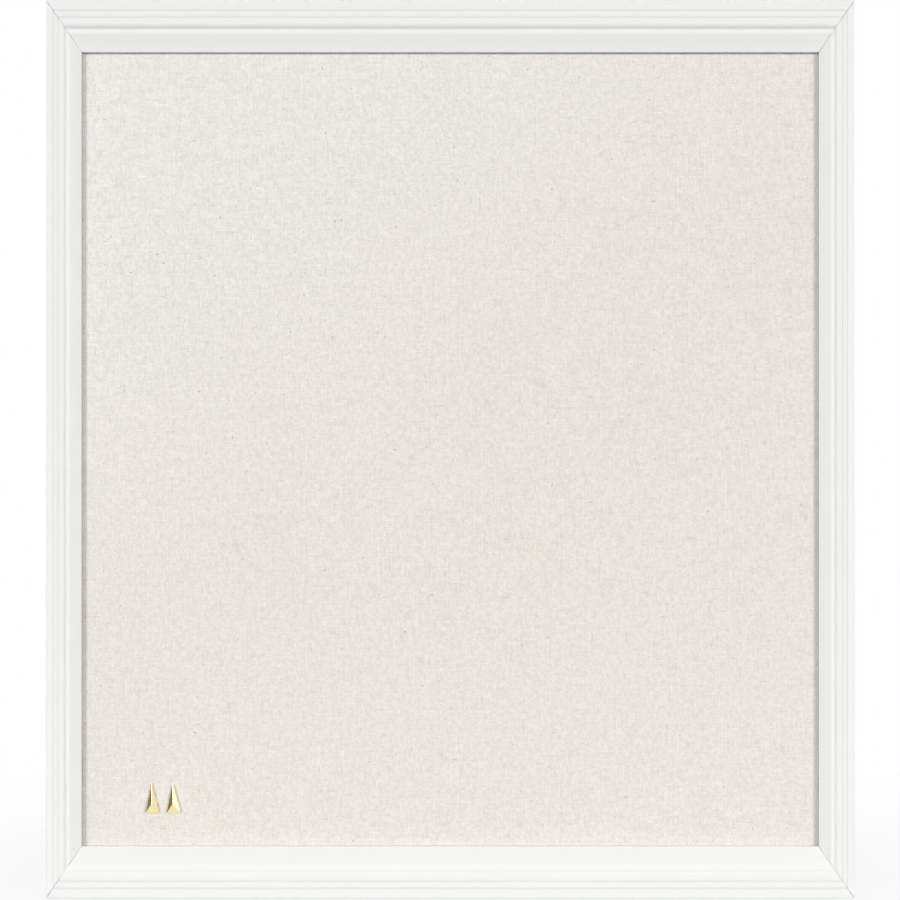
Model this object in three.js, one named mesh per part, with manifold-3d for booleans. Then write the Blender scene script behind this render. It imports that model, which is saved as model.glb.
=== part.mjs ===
// A framed bulletin board that hangs on a wall: four mitred mouldings round a linen-covered pin board,
// a hardboard backing, two hinged hanging rings, four bumpers and two faceted push pins.
// Millimetres. X runs to the right as seen from the front, Z is up, and the front faces -Y.
// The origin is on the wall, midway between the two hooks that the raised rings hang from.
import * as THREE from "three";
import { ConvexGeometry } from "three/addons/geometries/ConvexGeometry.js";
import { mergeVertices } from "three/addons/utils/BufferGeometryUtils.js";
import Module from "manifold-3d";

const wasm = await Module();
wasm.setup();

// Outline of the frame, and the width of its mouldings as seen from the front
const BOARD_WIDTH = 457.2;
const BOARD_HEIGHT = 508;
const STILE_FACE = 19.65;
const RAIL_FACE = 28.9;
const MITRE_GAP = 0.3;

// Heights of the moulding's section
const LIP_THICKNESS = 2.9;
const LIP_FALL = 0.5; // of the lip's front, at the opening
const CREST_RISE = 3.35; // lip to crest
const STEP_RISE = 0.16; // each of the two outer steps below the crest
const TREAD_FALL = 0.14; // of each tread, towards the opening
const QUIRK_DEPTH = 0.24; // hollow at the foot of a step
const ROLL_DROP = 1.55; // crest to the foot of the roll
const COVE_RISE = 1.45; // lip to the top of the cove
const COVE_BEND_RISE = 0.4;
const BEAD_RISE = 0.2; // above the top of the cove
const OUTER_ROUND = 0.8;
const SIGHT_ROUND = 0.45;

// Places across the moulding, from its outer edge to its sight edge
const OUTER_ROUND_SHARE = 0.03;
const FIRST_QUIRK_SHARE = 0.194;
const FIRST_STEP_SHARE = 0.218;
const FIRST_TREAD_SHARE = 0.222;
const SECOND_QUIRK_SHARE = 0.334;
const SECOND_STEP_SHARE = 0.358;
const SECOND_TREAD_SHARE = 0.362;
const ROLL_START_SHARE = 0.44;
const ROLL_BEND_SHARE = 0.492;
const ROLL_MIDDLE_SHARE = 0.522;
const ROLL_HOLLOW_SHARE = 0.545;
const ROLL_FOOT_SHARE = 0.558;
const BEAD_QUIRK_SHARE = 0.572;
const BEAD_START_SHARE = 0.576;
const BEAD_END_SHARE = 0.63;
const BEAD_BEND_SHARE = 0.655;
const COVE_START_SHARE = 0.675;
const COVE_BEND_SHARE = 0.82;
const COVE_END_SHARE = 0.965;
const CURVE_STEPS = 7; // straight pieces in each curve of the section

// Rabbet and the panel that it holds
const RAIL_RABBET = 7.5; // how far the lip of a rail covers the panel
const PANEL_CLEARANCE = 0.8; // round the panel and the backing
const LINEN_THICKNESS = 0.6;
const LINEN_MARGIN = 32; // turned over the back of the pin board
const PIN_BOARD_THICKNESS = 8;
const BACKING_THICKNESS = 2.2;
const BACK_RECESS = 2; // framer's points to the back of the frame
const SEAT_GAP = 0.3; // between pieces that lie on each other

// Framer's points: flat steel darts that hold the backing
const POINT_LENGTH = 14;
const POINT_DRIVEN = 7;
const POINT_WIDTH = 6;
const POINT_TIP = 2.5;
const POINT_THICKNESS = 0.5;
const POINT_COUNT = 3; // on each side
const FASTENER_END_MARGIN = 70; // from the panel's corner to the first point and staple

// Staples that hold the linen's margin
const STAPLE_CROWN = 10;
const STAPLE_LEG = 6;
const STAPLE_WIRE = 0.5;
const STAPLE_INSET = 16; // from the panel's edge
const STAPLE_COUNT = 3; // on each side

// V-nails across the back of each mitre
const V_NAIL_LEG = 4.5;
const V_NAIL_THICKNESS = 0.5;
const V_NAIL_HEIGHT = 10;
const V_NAIL_INSET = 0.2; // driven below the back of the frame
const OUTER_V_NAIL = 11; // outer corner to the nail, along the mitre
const INNER_V_NAIL = 19.5;

// Hanging rings and their straps
const HOOK_DROP = 120; // top of the frame to the hooks
const RING_WIRE = 1.8;
const RING_INNER_WIDTH = 9.4;
const RING_INNER_LENGTH = 8.6; // from the hinge axis
const RING_CORNER = 1.5;
const RING_SEAM = 0.3; // between the wire's two ends, inside the eye
const RING_CLEARANCE = 0.25; // of the ring's bar in the strap's eye
const STRAP_THICKNESS = 0.9;
const STRAP_WIDTH = 7.6;
const STRAP_LENGTH = 18.5; // hinge axis to the far end
const SCREW_SETBACK = 14.4; // hinge axis to the screw
const SCREW_HEAD_DIAMETER = 5.8;
const SCREW_HEAD_HEIGHT = 1.8;
const SCREW_SHANK_DIAMETER = 2.9;
const SCREW_LENGTH = 12;
const SCREW_TIP = 3;
const SCREW_RECESS_WIDTH = 0.7;
const SCREW_RECESS_SPAN = 3.2;
const SCREW_RECESS_DEPTH = 1;
const HOLE_CLEARANCE = 0.1; // round screws, nails, points and staples

// Rubber bumpers that keep the frame off the wall
const BUMPER_DIAMETER = 10;
const BUMPER_HEIGHT = 5;
const BUMPER_ROUND = 1.5;
const BUMPER_INSET = 42; // from the frame's outer edge to the bumper's middle

// Push pins: a faceted metal stud on a steel needle
const PIN_TALL = 16.6;
const PIN_WIDE = 7.9;
const PIN_EDGE = 1;
const PIN_RISE = 3;
const PIN_PEAK_SHARE = 0.67; // tip to peak, along the stud
const NEEDLE_DIAMETER = 1.1;
const NEEDLE_LENGTH = 8; // behind the stud
const NEEDLE_TIP = 2.5;
const NEEDLE_SOCKET = 1.4; // inside the stud
const NEEDLE_CLEARANCE = 0.15; // in the hole that it made
const LEFT_PIN_LEAN = 2; // degrees
const RIGHT_PIN_LEAN = 2.3;
const PIN_FROM_LEFT = 59.4; // the frame's outer edge to the left pin
const PIN_FROM_BOTTOM = 53.1;
const PIN_SPACING = 12;

// Fineness of round pieces
const ROUND_SIDES = 24;
const SMALL_SIDES = 12;
const RING_STEPS = 44;
const SCREW_DOME_SHARES = [0.97, 0.85, 0.6]; // of the head's radius
const BUMPER_ROUND_SHARES = [0.3, 0.6, 0.85]; // of the rounding's height
const MERGE_DISTANCE = 1e-4;
const OVERRUN = 1; // how far a cut runs past what it cuts

// Layers from the back of the frame to its front: each value is a distance from the frame's back
const backingBack = BACK_RECESS + POINT_THICKNESS + SEAT_GAP;
const stapleBack = backingBack + BACKING_THICKNESS + SEAT_GAP;
const marginBack = stapleBack + STAPLE_WIRE + SEAT_GAP;
const pinBoardBack = marginBack + LINEN_THICKNESS + SEAT_GAP;
const pinBoardFront = pinBoardBack + PIN_BOARD_THICKNESS;
const linenFront = pinBoardFront + SEAT_GAP + LINEN_THICKNESS;
const rabbetDepth = linenFront + SEAT_GAP;
const lipFront = rabbetDepth + LIP_THICKNESS;
const crest = lipFront + CREST_RISE;

// Sizes across the frame
const stileRabbet = (RAIL_RABBET * STILE_FACE) / RAIL_FACE; // so that the rabbets meet at the mitre
const railBack = RAIL_FACE - RAIL_RABBET;
const stileBack = STILE_FACE - stileRabbet;
const panelWidth = BOARD_WIDTH - 2 * (stileBack + PANEL_CLEARANCE);
const panelHeight = BOARD_HEIGHT - 2 * (railBack + PANEL_CLEARANCE);
const panelSkin = LINEN_THICKNESS + SEAT_GAP;
const pinBoardWidth = panelWidth - 2 * panelSkin;
const pinBoardHeight = panelHeight - 2 * panelSkin;

// The frame's back in front of the wall, and its middle below the hooks
const wallGap = BUMPER_HEIGHT + SEAT_GAP;
const middle = HOOK_DROP - BOARD_HEIGHT / 2;

const painted = new THREE.MeshStandardMaterial({ color: 0xf4f4f2, roughness: 0.45 });
const linen = new THREE.MeshStandardMaterial({ color: 0xebe5de, roughness: 0.95 });
const softboard = new THREE.MeshStandardMaterial({ color: 0xb79a72, roughness: 0.95 });
const hardboard = new THREE.MeshStandardMaterial({ color: 0x7a5638, roughness: 0.7 });
const steel = new THREE.MeshStandardMaterial({ color: 0xc4c6c8, roughness: 0.3, metalness: 1 });
const gold = new THREE.MeshStandardMaterial({ color: 0xe3c16a, roughness: 0.2, metalness: 1 });
const rubber = new THREE.MeshStandardMaterial({ color: 0x2b2b2b, roughness: 0.8 });

// A closed geometry as a solid that can be cut
function solidOf(geometry) {
  const bare = geometry.clone();
  bare.deleteAttribute("normal");
  bare.deleteAttribute("uv");
  const merged = mergeVertices(bare, MERGE_DISTANCE);
  return new wasm.Manifold(
    new wasm.Mesh({
      numProp: 3,
      vertProperties: merged.attributes.position.array,
      triVerts: Uint32Array.from(merged.index.array),
    }),
  );
}

function geometryOf(solid) {
  const mesh = solid.getMesh();
  const geometry = new THREE.BufferGeometry();
  geometry.setAttribute("position", new THREE.BufferAttribute(mesh.vertProperties, 3));
  geometry.setIndex(new THREE.BufferAttribute(mesh.triVerts, 1));
  geometry.computeVertexNormals();
  return geometry;
}

function subtract(geometry, ...tools) {
  const cut = tools.reduce((solid, tool) => solid.subtract(solidOf(tool)), solidOf(geometry));
  return geometryOf(cut);
}

// Cuts the seat of a fastener out of the piece that holds it: the seat lies where the fastener lies
function cutSeat(holder, fastener, seat) {
  const toHolder = holder.matrixWorld.clone().invert().multiply(fastener.matrixWorld);
  holder.geometry = subtract(holder.geometry, seat.clone().applyMatrix4(toHolder));
}

function piece(name, geometry, material, parent, x = 0, y = 0, z = 0) {
  const mesh = new THREE.Mesh(geometry, material);
  mesh.name = name;
  mesh.position.set(x, y, z);
  parent.add(mesh);
  return mesh;
}

// A flat shape in X and Z, from y = 0 to y = -depth
function slab(shape, depth) {
  return new THREE.ExtrudeGeometry(shape, { depth, bevelEnabled: false }).rotateX(Math.PI / 2);
}

function polygon(points) {
  return new THREE.Shape(points.map(([x, y]) => new THREE.Vector2(x, y)));
}

// Places that share a length evenly, about its middle
function spread(count, span) {
  return Array.from({ length: count }, (_, i) => (count > 1 ? span * (i / (count - 1) - 0.5) : 0));
}

// The moulding's section: X runs from the outer edge to the sight edge, Y from the back to the front
function mouldingSection(face, rabbet) {
  const firstTread = crest - STEP_RISE;
  const fillet = firstTread - STEP_RISE;
  const coveTop = lipFront + COVE_RISE;
  const bead = coveTop + BEAD_RISE;
  const rollStart = crest - TREAD_FALL / 2;
  const rollFoot = crest - ROLL_DROP;
  const sight = lipFront - LIP_FALL;
  const at = (share) => face * share;
  const s = new THREE.Shape();
  s.moveTo(0, 0);
  s.lineTo(0, fillet - OUTER_ROUND);
  s.quadraticCurveTo(0, fillet, at(OUTER_ROUND_SHARE), fillet);
  const steps = [
    [FIRST_QUIRK_SHARE, FIRST_STEP_SHARE, FIRST_TREAD_SHARE, fillet, firstTread],
    [SECOND_QUIRK_SHARE, SECOND_STEP_SHARE, SECOND_TREAD_SHARE, firstTread, crest],
  ];
  for (const [quirk, step, tread, low, high] of steps) {
    const fallen = low - TREAD_FALL;
    s.lineTo(at(quirk), fallen);
    s.lineTo(at(step), fallen - QUIRK_DEPTH);
    s.lineTo(at(tread), high);
  }
  s.lineTo(at(ROLL_START_SHARE), rollStart);
  s.quadraticCurveTo(at(ROLL_BEND_SHARE), rollStart, at(ROLL_MIDDLE_SHARE), crest - ROLL_DROP / 2);
  s.quadraticCurveTo(at(ROLL_HOLLOW_SHARE), rollFoot, at(ROLL_FOOT_SHARE), rollFoot);
  s.lineTo(at(BEAD_QUIRK_SHARE), rollFoot - QUIRK_DEPTH);
  s.lineTo(at(BEAD_START_SHARE), bead);
  s.lineTo(at(BEAD_END_SHARE), bead);
  s.quadraticCurveTo(at(BEAD_BEND_SHARE), bead, at(COVE_START_SHARE), coveTop);
  s.quadraticCurveTo(at(COVE_BEND_SHARE), lipFront + COVE_BEND_RISE, at(COVE_END_SHARE), sight);
  s.quadraticCurveTo(face, sight, face, sight - SIGHT_ROUND);
  s.lineTo(face, rabbetDepth);
  s.lineTo(face - rabbet, rabbetDepth);
  s.lineTo(face - rabbet, 0);
  return new THREE.Shape(s.getPoints(CURVE_STEPS));
}

// One moulding, mitred at both ends. X runs along it, z = 0 is its outer edge, and y = 0 its back.
function mouldingGeometry(length, face, rabbet, neighbourFace) {
  const section = mouldingSection(face, rabbet);
  const geometry = new THREE.ExtrudeGeometry(section, { depth: 1, bevelEnabled: false });
  const endGap = ((MITRE_GAP / 2) * Math.hypot(face, neighbourFace)) / face;
  const position = geometry.attributes.position;
  for (let i = 0; i < position.count; i += 1) {
    const across = position.getX(i);
    const half = length / 2 - (across * neighbourFace) / face - endGap;
    const along = position.getZ(i) > 0 ? -half : half;
    position.setXYZ(i, along, -position.getY(i), -across);
  }
  return geometry;
}

// A flat dart whose pointed end, at +Z, is driven into the moulding
function pointGeometry(grow) {
  const side = POINT_WIDTH / 2 + grow;
  const tip = POINT_DRIVEN + grow;
  const tail = POINT_DRIVEN - POINT_LENGTH - grow;
  const outline = [[-side, tail], [side, tail], [side, tip - POINT_TIP], [0, tip], [-side, tip - POINT_TIP]];
  return slab(polygon(outline), POINT_THICKNESS + 2 * grow).translate(0, grow, 0);
}

// A staple of square wire: its crown lies along X at y = 0 and its legs point to -Y
function stapleGeometry(grow) {
  const outside = STAPLE_CROWN / 2 + grow;
  const inside = STAPLE_CROWN / 2 - STAPLE_WIRE - grow;
  const tip = -STAPLE_WIRE - STAPLE_LEG - grow;
  const crown = -STAPLE_WIRE - grow;
  const outline = [[-outside, grow], [-outside, tip], [-inside, tip], [-inside, crown],
    [inside, crown], [inside, tip], [outside, tip], [outside, grow]];
  const thickness = STAPLE_WIRE + 2 * grow;
  const wire = new THREE.ExtrudeGeometry(polygon(outline), { depth: thickness, bevelEnabled: false });
  return wire.translate(0, 0, -thickness / 2);
}

// A V-shaped strip whose point faces +X
function vNailGeometry(grow) {
  const leg = (V_NAIL_LEG + grow) * Math.SQRT1_2;
  const back = (V_NAIL_THICKNESS + 2 * grow) * Math.SQRT2;
  const point = grow * Math.SQRT2;
  const outline = [[point, 0], [point - leg, leg], [point - leg - back / 2, leg - back / 2],
    [point - back, 0], [point - leg - back / 2, back / 2 - leg], [point - leg, -leg]];
  return slab(polygon(outline.reverse()), V_NAIL_HEIGHT + 2 * grow).translate(0, grow, 0);
}

function lathe(profile, sides) {
  return new THREE.LatheGeometry(profile.map(([r, y]) => new THREE.Vector2(r, y)), sides);
}

// A hanging strap: a plate with a rolled eye at its top. y = 0 lies on the frame, z = 0 is the eye's axis.
function strapGeometry() {
  const bore = RING_WIRE / 2 + RING_CLEARANCE;
  const eye = bore + STRAP_THICKNESS;
  const eyeEnd = THREE.MathUtils.degToRad(-110);
  const side = new THREE.Shape();
  side.moveTo(0, -STRAP_LENGTH);
  side.lineTo(0, 0);
  side.absarc(eye, 0, eye, Math.PI, eyeEnd, true);
  side.absarc(eye, 0, bore, eyeEnd, Math.PI, false);
  side.lineTo(STRAP_THICKNESS, -STRAP_LENGTH);
  const turned = new THREE.Matrix4().makeBasis(
    new THREE.Vector3(0, 1, 0),
    new THREE.Vector3(0, 0, 1),
    new THREE.Vector3(1, 0, 0),
  );
  const options = { depth: STRAP_WIDTH, bevelEnabled: false, curveSegments: ROUND_SIDES };
  const rolled = new THREE.ExtrudeGeometry(side, options).applyMatrix4(turned);
  rolled.translate(-STRAP_WIDTH / 2, 0, 0);
  const half = STRAP_WIDTH / 2;
  const plan = new THREE.Shape();
  plan.moveTo(half, eye + OVERRUN);
  plan.lineTo(-half, eye + OVERRUN);
  plan.lineTo(-half, half - STRAP_LENGTH);
  plan.absarc(0, half - STRAP_LENGTH, half, Math.PI, 0, false);
  const outline = slab(plan, 2 * (eye + OVERRUN)).translate(0, 2 * eye + OVERRUN, 0);
  return { geometry: geometryOf(solidOf(rolled).intersect(solidOf(outline))), axisHeight: eye };
}

// A D-shaped ring of bent wire that hangs from its straight bar, at z = 0, where its two ends meet
function ringGeometry() {
  const half = (RING_INNER_WIDTH + RING_WIRE) / 2;
  const end = RING_INNER_LENGTH + RING_WIRE / 2;
  const line = new THREE.Path();
  line.moveTo(RING_SEAM / 2, 0);
  line.lineTo(half - RING_CORNER, 0);
  line.absarc(half - RING_CORNER, -RING_CORNER, RING_CORNER, Math.PI / 2, 0, true);
  line.lineTo(half, half - end);
  line.absarc(0, half - end, half, 0, -Math.PI, true);
  line.lineTo(-half, -RING_CORNER);
  line.absarc(RING_CORNER - half, -RING_CORNER, RING_CORNER, Math.PI, Math.PI / 2, true);
  line.lineTo(-RING_SEAM / 2, 0);
  const points = line.getSpacedPoints(RING_STEPS).map((p) => new THREE.Vector3(p.x, 0, p.y));
  const wire = new THREE.Shape().absarc(0, 0, RING_WIRE / 2, 0, 2 * Math.PI);
  return new THREE.ExtrudeGeometry(wire, {
    steps: RING_STEPS,
    curveSegments: SMALL_SIDES / 2,
    extrudePath: new THREE.CatmullRomCurve3(points),
  });
}

// A pan-head screw along Y: y = 0 is the underside of its head, and its tip points to -Y
function screwGeometry() {
  const head = SCREW_HEAD_DIAMETER / 2;
  const shank = SCREW_SHANK_DIAMETER / 2;
  const dome = SCREW_DOME_SHARES.map((share) => [
    head * share,
    SCREW_HEAD_HEIGHT * Math.sqrt(1 - share ** 4),
  ]);
  const profile = [[0, -SCREW_LENGTH], [shank, SCREW_TIP - SCREW_LENGTH], [shank, 0], [head, 0],
    ...dome, [0, SCREW_HEAD_HEIGHT]];
  const slotAlong = (width, length) =>
    new THREE.BoxGeometry(width, 2 * SCREW_RECESS_DEPTH, length).translate(0, SCREW_HEAD_HEIGHT, 0);
  return subtract(
    lathe(profile, ROUND_SIDES),
    slotAlong(SCREW_RECESS_WIDTH, SCREW_RECESS_SPAN),
    slotAlong(SCREW_RECESS_SPAN, SCREW_RECESS_WIDTH),
  );
}

function bumperGeometry() {
  const radius = BUMPER_DIAMETER / 2;
  const shoulder = BUMPER_HEIGHT - BUMPER_ROUND;
  const round = BUMPER_ROUND_SHARES.map((share) => [
    radius - BUMPER_ROUND * (1 - Math.sqrt(1 - share ** 2)),
    shoulder + BUMPER_ROUND * share,
  ]);
  return lathe([[0, 0], [radius, 0], [radius, shoulder], ...round,
    [radius - BUMPER_ROUND, BUMPER_HEIGHT], [0, BUMPER_HEIGHT]], ROUND_SIDES);
}

// The stud of a push pin: three facets on a narrow triangle. Its flat back is y = 0, its peak x = z = 0.
function studGeometry() {
  const tip = PIN_TALL * PIN_PEAK_SHARE;
  const base = tip - PIN_TALL;
  const corners = [[0, tip], [-PIN_WIDE / 2, base], [PIN_WIDE / 2, base]];
  const rim = [0, -PIN_EDGE].flatMap((y) => corners.map(([x, z]) => new THREE.Vector3(x, y, z)));
  const solid = new ConvexGeometry([...rim, new THREE.Vector3(0, -PIN_RISE, 0)]);
  const radius = NEEDLE_DIAMETER / 2 + HOLE_CLEARANCE;
  const depth = NEEDLE_SOCKET + SEAT_GAP;
  const socket = new THREE.CylinderGeometry(radius, radius, 2 * depth, SMALL_SIDES);
  return subtract(solid, socket);
}

function needleGeometry(grow) {
  const radius = NEEDLE_DIAMETER / 2 + grow;
  return lathe([[0, -NEEDLE_SOCKET], [radius, -NEEDLE_SOCKET], [radius, NEEDLE_LENGTH - NEEDLE_TIP + grow],
    [0, NEEDLE_LENGTH + grow]], SMALL_SIDES);
}

// Linen wrapped round the front, the edges and the margin of the back of the pin board
function linenGeometry() {
  const block = (width, height, back, front) =>
    new THREE.BoxGeometry(width, front - back, height).translate(0, -(front + back) / 2, 0);
  const inner = block(pinBoardWidth + 2 * SEAT_GAP, pinBoardHeight + 2 * SEAT_GAP,
    pinBoardBack - SEAT_GAP, pinBoardFront + SEAT_GAP);
  const bare = block(panelWidth - 2 * LINEN_MARGIN, panelHeight - 2 * LINEN_MARGIN,
    marginBack - OVERRUN, pinBoardBack);
  return subtract(block(panelWidth, panelHeight, marginBack, linenFront), inner, bare);
}

// The board's own frame: y = 0 is the back of the mouldings, and x = z = 0 the middle
const bulletinBoard = new THREE.Group();
const body = new THREE.Group();
body.position.set(0, -wallGap, middle);
bulletinBoard.add(body);

const linenCover = piece("linen_cover", linenGeometry(), linen, body);
const pinBoard = piece(
  "pin_board",
  new THREE.BoxGeometry(pinBoardWidth, PIN_BOARD_THICKNESS, pinBoardHeight),
  softboard, body, 0, -(pinBoardBack + pinBoardFront) / 2,
);
piece(
  "backing_board",
  new THREE.BoxGeometry(panelWidth, BACKING_THICKNESS, panelHeight),
  hardboard, body, 0, -(backingBack + BACKING_THICKNESS / 2),
);

// Each side is a group whose X runs along the side, with z = 0 at the frame's outer edge
const sides = [
  { name: "top", kind: "rail", turn: 0 },
  { name: "right", kind: "stile", turn: Math.PI / 2 },
  { name: "bottom", kind: "rail", turn: Math.PI },
  { name: "left", kind: "stile", turn: -Math.PI / 2 },
];
const kinds = {
  rail: { length: BOARD_WIDTH, reach: BOARD_HEIGHT / 2, face: RAIL_FACE, rabbet: RAIL_RABBET,
    neighbour: STILE_FACE, panel: panelWidth },
  stile: { length: BOARD_HEIGHT, reach: BOARD_WIDTH / 2, face: STILE_FACE, rabbet: stileRabbet,
    neighbour: RAIL_FACE, panel: panelHeight },
};
const mouldings = {};
const points = [];
const staples = [];
for (const { name, kind, turn } of sides) {
  const { length, reach, face, rabbet, neighbour, panel } = kinds[kind];
  const side = new THREE.Group();
  side.rotation.y = turn;
  side.position.set(reach * Math.round(Math.sin(turn)), 0, reach * Math.round(Math.cos(turn)));
  body.add(side);
  const moulding = mouldingGeometry(length, face, rabbet, neighbour);
  mouldings[name] = piece(`${name}_${kind}`, moulding, painted, side);
  const wall = face - rabbet;
  spread(POINT_COUNT, panel - 2 * FASTENER_END_MARGIN).forEach((x, i) => {
    const nodeName = `framers_point_${name}_${i + 1}`;
    const mesh = piece(nodeName, pointGeometry(0), steel, side, x, -BACK_RECESS, -wall);
    points.push({ mesh, holder: mouldings[name] });
  });
  spread(STAPLE_COUNT, panel - 2 * FASTENER_END_MARGIN).forEach((x, i) => {
    const nodeName = `linen_staple_${name}_${i + 1}`;
    const z = -(wall + PANEL_CLEARANCE + STAPLE_INSET);
    staples.push(piece(nodeName, stapleGeometry(0), steel, side, x, -stapleBack, z));
  });
}

// Two V-nails across the back of each mitre
const vNails = [];
for (const [column, signX] of [["left", -1], ["right", 1]]) {
  for (const [row, signZ] of [["top", 1], ["bottom", -1]]) {
    const inward = new THREE.Vector2(-signX * STILE_FACE, -signZ * RAIL_FACE).normalize();
    for (const [place, distance] of [["outer", OUTER_V_NAIL], ["inner", INNER_V_NAIL]]) {
      const x = (signX * BOARD_WIDTH) / 2 + inward.x * distance;
      const z = (signZ * BOARD_HEIGHT) / 2 + inward.y * distance;
      const name = `v_nail_${row}_${column}_${place}`;
      const mesh = piece(name, vNailGeometry(0), steel, body, x, -V_NAIL_INSET, z);
      mesh.rotation.y = Math.atan2(-inward.y, inward.x);
      vNails.push({ mesh, holders: [mouldings[row], mouldings[column]] });
    }
  }
}

// A strap, its ring and its screw on the back of each stile
const screws = [];
const hinge = -RING_INNER_LENGTH - middle;
for (const [column, signX] of [["left", -1], ["right", 1]]) {
  const x = signX * (BOARD_WIDTH / 2 - stileBack / 2);
  const strap = strapGeometry();
  const plate = piece(`${column}_hanger_strap`, strap.geometry, steel, body, x, SEAT_GAP, hinge);
  piece(`${column}_hanger_ring`, ringGeometry(), steel, body, x, SEAT_GAP + strap.axisHeight, hinge);
  const underHead = STRAP_THICKNESS + 2 * SEAT_GAP;
  const name = `${column}_hanger_screw`;
  const screw = piece(name, screwGeometry(), steel, body, x, underHead, hinge - SCREW_SETBACK);
  screws.push({ mesh: screw, holders: [plate, mouldings[column]] });
}

for (const [column, signX] of [["left", -1], ["right", 1]]) {
  for (const [row, signZ] of [["top", 1], ["bottom", -1]]) {
    const x = signX * (BOARD_WIDTH / 2 - BUMPER_INSET);
    const z = signZ * (BOARD_HEIGHT / 2 - railBack / 2);
    piece(`bumper_${row}_${column}`, bumperGeometry(), rubber, body, x, SEAT_GAP, z);
  }
}

const needles = [];
const pins = [
  { name: "left_pin", fromLeft: PIN_FROM_LEFT, lean: LEFT_PIN_LEAN },
  { name: "right_pin", fromLeft: PIN_FROM_LEFT + PIN_SPACING, lean: RIGHT_PIN_LEAN },
];
for (const { name, fromLeft, lean } of pins) {
  const pin = new THREE.Group();
  pin.position.set(fromLeft - BOARD_WIDTH / 2, -linenFront - SEAT_GAP, PIN_FROM_BOTTOM - BOARD_HEIGHT / 2);
  pin.rotation.y = THREE.MathUtils.degToRad(-lean);
  body.add(pin);
  piece(`${name}_stud`, studGeometry(), gold, pin);
  needles.push(piece(`${name}_needle`, needleGeometry(0), steel, pin));
}

// Seats for the fasteners and the needles
bulletinBoard.updateMatrixWorld(true);
points.forEach(({ mesh, holder }) => cutSeat(holder, mesh, pointGeometry(HOLE_CLEARANCE)));
vNails.forEach(({ mesh, holders }) =>
  holders.forEach((holder) => cutSeat(holder, mesh, vNailGeometry(HOLE_CLEARANCE))));
staples.forEach((mesh) =>
  [linenCover, pinBoard].forEach((holder) => cutSeat(holder, mesh, stapleGeometry(HOLE_CLEARANCE))));
const pilotRadius = SCREW_SHANK_DIAMETER / 2 + HOLE_CLEARANCE;
const pilot = new THREE.CylinderGeometry(pilotRadius, pilotRadius, 2 * (SCREW_LENGTH + OVERRUN), ROUND_SIDES);
screws.forEach(({ mesh, holders }) => holders.forEach((holder) => cutSeat(holder, mesh, pilot)));
needles.forEach((mesh) =>
  [linenCover, pinBoard].forEach((holder) => cutSeat(holder, mesh, needleGeometry(NEEDLE_CLEARANCE))));

export default bulletinBoard;
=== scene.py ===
# Visual model of the framed bulletin board: mitred white mouldings, linen over softboard, a hardboard back
# with its points and hangers, and two faceted gold push pins
import math

import bmesh
import bpy
from mathutils import Matrix, Vector


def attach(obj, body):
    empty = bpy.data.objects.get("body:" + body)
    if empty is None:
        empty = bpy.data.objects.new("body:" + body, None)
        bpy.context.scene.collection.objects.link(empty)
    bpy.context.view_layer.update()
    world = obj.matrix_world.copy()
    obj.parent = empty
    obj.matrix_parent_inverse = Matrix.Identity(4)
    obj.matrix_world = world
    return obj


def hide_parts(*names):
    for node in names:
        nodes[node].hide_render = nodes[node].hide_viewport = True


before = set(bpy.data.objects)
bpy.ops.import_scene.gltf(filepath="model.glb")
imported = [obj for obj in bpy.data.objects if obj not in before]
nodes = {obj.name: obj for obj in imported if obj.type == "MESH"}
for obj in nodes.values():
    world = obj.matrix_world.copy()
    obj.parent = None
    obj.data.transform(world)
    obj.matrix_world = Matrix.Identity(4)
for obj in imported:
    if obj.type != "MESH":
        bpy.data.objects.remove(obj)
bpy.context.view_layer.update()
MM = 0.001

# Outline of the frame and the width of its mouldings
BOARD_WIDTH = 457.2 * MM
BOARD_HEIGHT = 508 * MM
STILE_FACE = 19.65 * MM
RAIL_FACE = 28.9 * MM
OPEN_JOINT = 0.12 * MM

# Depths of the moulding's section, from the frame's back
LIP_BACK = 16.2 * MM
LIP_FRONT = 19.1 * MM
CREST_RISE = 3.35 * MM
STEP_RISE = 0.16 * MM
TREAD_FALL = 0.14 * MM
QUIRK_DEPTH = 0.3 * MM
FOOT_RISE = 1.45 * MM
ROLL_DROP = 1.55 * MM
BEAD_RISE = 0.2 * MM
COVE_RISE = 0.4 * MM
LIP_FALL = 0.26 * MM
OUTER_ROUND = 0.8 * MM
SIGHT_ROUND = 0.38 * MM
BEAD_FALL = 0.03 * MM
EDGE_ROUND = 0.07 * MM
RAIL_RABBET = 7.5 * MM

# Places across the section, as shares of the face from its outer edge
OUTER_ROUND_SHARE = 0.03
GROOVE_END_SHARES = (0.218, 0.358)
GROOVE_SHARE = 0.024
LEAD_SHARE = 0.03
WALL_SHARE = 0.001
EDGE_SHARE = 0.01
ROLL_START_SHARE = 0.44
ROLL_BEND_SHARE = 0.492
ROLL_MIDDLE_SHARE = 0.522
ROLL_HOLLOW_SHARE = 0.545
ROLL_FOOT_SHARE = 0.558
BEAD_QUIRK_SHARE = 0.572
BEAD_START_SHARE = 0.573
BEAD_TOP_SHARE = 0.582
BEAD_END_SHARE = 0.63
BEAD_BEND_SHARE = 0.655
COVE_START_SHARE = 0.675
COVE_BEND_SHARE = 0.82
COVE_END_SHARE = 0.965

# Where a mitre opens up towards the front, as shares of the crest's height, and its worn outer corner
OPEN_JOINT_SHARES = (0.45, 0.9)
WORN_CORNER_SHARES = (0.16, 0.02)
WORN_CORNER_OPENING = 1.3
JOINT_LUMPS = 5

# Straight pieces in the section's curves
EDGE_STEPS = 6
ROUND_STEPS = 8
BEAD_STEPS = 10
FOOT_STEPS = 12
CURVE_STEPS = 16

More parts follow.
